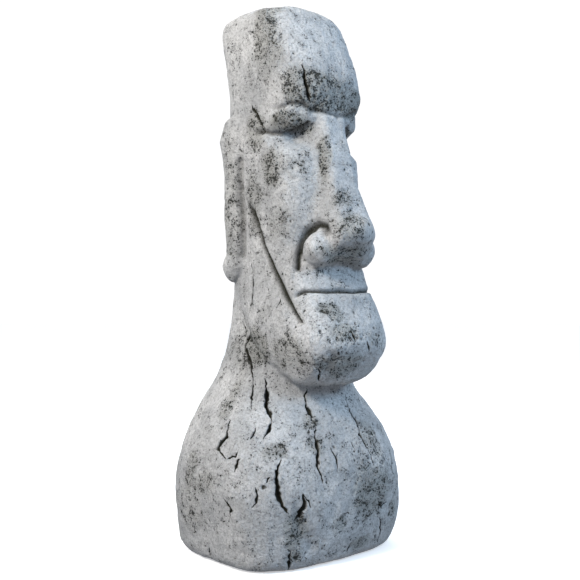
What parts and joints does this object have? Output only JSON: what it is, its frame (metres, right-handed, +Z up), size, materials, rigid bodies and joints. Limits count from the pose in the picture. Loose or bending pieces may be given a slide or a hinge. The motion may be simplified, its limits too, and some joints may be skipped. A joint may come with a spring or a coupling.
{
  "type": "garden statue",
  "caption": "Weathered cast-stone garden statue of an Easter Island style head and bust that stands on its own flat underside.",
  "frame": {"origin": "middle of the flat underside, midway between the four reinforcing bars", "axes": "+Z up through the crown of the head, -Y the way the face looks, +X towards the figure's own left"},
  "size_m": [0.4024, 0.3867, 1.01],
  "materials": {
    "cast_stone": "rough weathered grey cast stone",
    "reinforcing_steel": "lightly rusted mild steel"
  },
  "bodies": {
    "root": {"stone_casting": "cast_stone", "bar_front_right": "reinforcing_steel", "bar_front_left": "reinforcing_steel", "bar_back_right": "reinforcing_steel", "bar_back_left": "reinforcing_steel", "tie_hoop_1": "reinforcing_steel", "tie_hoop_2": "reinforcing_steel", "tie_hoop_3": "reinforcing_steel", "tie_hoop_4": "reinforcing_steel"}
  },
  "joints": []
}
